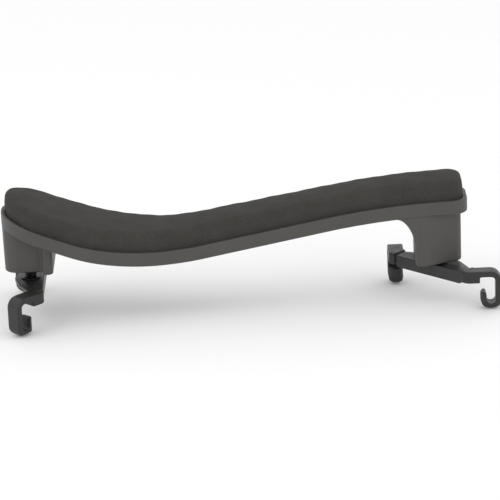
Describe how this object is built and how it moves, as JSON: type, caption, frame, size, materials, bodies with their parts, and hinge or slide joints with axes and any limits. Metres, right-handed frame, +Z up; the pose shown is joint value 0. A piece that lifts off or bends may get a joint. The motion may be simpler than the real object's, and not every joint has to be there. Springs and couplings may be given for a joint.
{
  "type": "violin shoulder rest",
  "caption": "Shoulder rest for a violin: an S-curved bar with a foam pad, and a tower at each end holding a height-adjustable screw-in claw with rubber-booted hooks.",
  "frame": {"origin": "centre of the footprint, at the foot of the hooks", "axes": "+X along the bar, from the wide end to the narrow end; +Y across it, away from the viewer; +Z up through the pad"},
  "size_m": [0.2296, 0.071, 0.0597],
  "materials": {
    "frame_plastic": "fine matte, dark grey",
    "foam": "fine closed-cell foam, charcoal",
    "adhesive": "thin translucent film",
    "brass": "turned and knurled",
    "steel": "black-oxide turned thread",
    "fork_paint": "black powder coat",
    "boot_rubber": "satin black rubber"
  },
  "bodies": {
    "rest_body": {"frame": "frame_plastic", "foam_pad": "foam", "pad_adhesive": "adhesive", "left_threaded_insert": "brass", "right_threaded_insert": "brass"},
    "left_screw": {"left_stud": "steel"},
    "left_claw": {"left_fork": "fork_paint", "left_front_boot": "boot_rubber", "left_back_boot": "boot_rubber"},
    "right_screw": {"right_stud": "steel"},
    "right_claw": {"right_fork": "fork_paint", "right_front_boot": "boot_rubber", "right_back_boot": "boot_rubber"}
  },
  "joints": [
    {"name": "left_height", "type": "slide", "parent": "rest_body", "child": "left_screw", "axis": [0, 0, -1], "range_m": [-0.0048, 0.0072]},
    {"name": "left_turn", "type": "hinge", "parent": "left_screw", "child": "left_claw", "pos_m": [-0.10293, 0, 0.0178], "axis": [0, 0, -1], "range_deg": [-1710, 2520]},
    {"name": "right_height", "type": "slide", "parent": "rest_body", "child": "right_screw", "axis": [0, 0, -1], "range_m": [0, 0.012]},
    {"name": "right_turn", "type": "hinge", "parent": "right_screw", "child": "right_claw", "pos_m": [0.08647, 0, 0.0178], "axis": [0, 0, -1], "range_deg": [0, 4230]}
  ],
  "couplings": [
    {"joint": "left_height", "follows": "left_turn", "m_per_rad": 0.00015915},
    {"joint": "right_height", "follows": "right_turn", "m_per_rad": 0.00015915}
  ]
}
